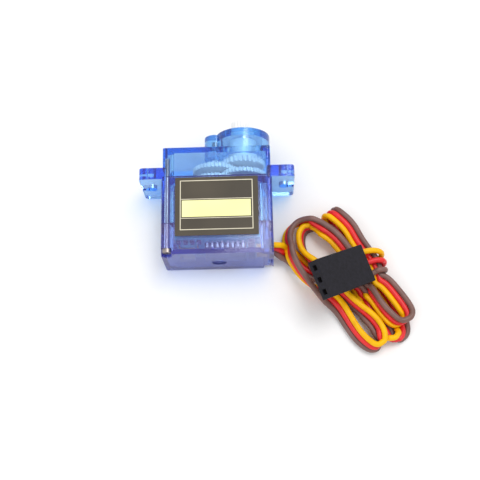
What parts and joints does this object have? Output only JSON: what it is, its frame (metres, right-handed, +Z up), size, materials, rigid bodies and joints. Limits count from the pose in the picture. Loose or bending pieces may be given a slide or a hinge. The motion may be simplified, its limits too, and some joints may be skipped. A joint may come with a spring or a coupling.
{
  "type": "hobby servo motor",
  "caption": "Micro rotary servo: translucent mounting-ear case with geared DC motor, feedback potentiometer, control board, splined output and a folded three-wire lead with plug.",
  "frame": {"origin": "on the resting back face of the case, directly under the output shaft's axis, in the plane of the mounting ears' underside", "axes": "+X along the case from the motor end to the output end, +Y the way the output shaft points, +Z up out of the label face"},
  "size_m": [0.0556, 0.0482, 0.0148],
  "materials": {
    "case_blue": "translucent, glossy, moulded",
    "label_dark": "satin printed film",
    "steel": "plated",
    "motor_steel": "drawn, plated",
    "cap_nylon": "moulded",
    "magnet": "sintered",
    "bronze": "sintered bronze",
    "brass": "bright",
    "core_steel": "laminated",
    "enamel_copper": "enamelled wire",
    "copper": "bright",
    "gear_nylon": "white nylon",
    "pot_black": "moulded",
    "carbon": "printed carbon film",
    "tinned": "tinned",
    "board_green": "solder mask",
    "chip_black": "moulded epoxy",
    "capacitor_tan": "fired",
    "grommet_black": "matt",
    "wire_brown": "extruded PVC",
    "wire_red": "extruded PVC",
    "wire_orange": "extruded PVC",
    "connector_black": "moulded",
    "gold_plate": "flash plated"
  },
  "bodies": {
    "case": {"bottom_cover": "case_blue", "middle_case": "case_blue", "top_cover": "case_blue", "case_screws": "steel", "front_label": "label_dark", "motor_can": "motor_steel", "motor_end_cap": "cap_nylon", "motor_magnets": "magnet", "motor_bush": "bronze", "motor_terminals": "brass", "gear_pin": "steel", "pot_body": "pot_black", "pot_track": "carbon", "pot_terminals": "tinned", "pot_wires": "wire_red", "circuit_board": "board_green", "control_chip": "chip_black", "chip_legs": "tinned", "chip_resistors": "chip_black", "board_capacitor": "capacitor_tan", "drive_transistors": "chip_black", "lead_grommet": "grommet_black", "lead_tails": "wire_orange", "lead_brown": "wire_brown", "lead_red": "wire_red", "lead_orange": "wire_orange", "wire_hank": "wire_orange", "connector_housing": "connector_black", "connector_contacts": "gold_plate"},
    "rotor": {"motor_shaft": "steel", "armature_core": "core_steel", "armature_winding": "enamel_copper", "commutator": "copper", "motor_pinion": "brass"},
    "first_gear": {"first_gear": "gear_nylon"},
    "second_gear": {"second_gear": "gear_nylon"},
    "third_gear": {"third_gear": "gear_nylon"},
    "output": {"output_gear": "gear_nylon", "pot_shaft": "steel", "pot_wiper": "brass"}
  },
  "joints": [
    {"name": "motor_spin", "type": "hinge", "parent": "case", "child": "rotor", "pos_m": [-0.01162, 0, 0.0061], "axis": [0, 1, 0], "range_deg": [-14689.4, 14689.4]},
    {"name": "first_gear_spin", "type": "hinge", "parent": "case", "child": "first_gear", "pos_m": [-0.00588, 0, 0.0061], "axis": [0, 1, 0], "range_deg": [-3574.88, 3574.88]},
    {"name": "second_gear_spin", "type": "hinge", "parent": "case", "child": "second_gear", "pos_m": [0, 0, 0.0061], "axis": [0, 1, 0], "range_deg": [-966.18, 966.18]},
    {"name": "third_gear_spin", "type": "hinge", "parent": "case", "child": "third_gear", "pos_m": [-0.00588, 0, 0.0061], "axis": [0, 1, 0], "range_deg": [-261.13, 261.13]},
    {"name": "output_turn", "type": "hinge", "parent": "case", "child": "output", "pos_m": [0, 0, 0.0061], "axis": [0, 1, 0], "range_deg": [-90, 90]}
  ],
  "couplings": [
    {"joint": "first_gear_spin", "follows": "motor_spin", "ratio": -0.24324},
    {"joint": "second_gear_spin", "follows": "motor_spin", "ratio": 0.065741},
    {"joint": "third_gear_spin", "follows": "motor_spin", "ratio": -0.017768},
    {"joint": "output_turn", "follows": "motor_spin", "ratio": 0.0061269}
  ]
}
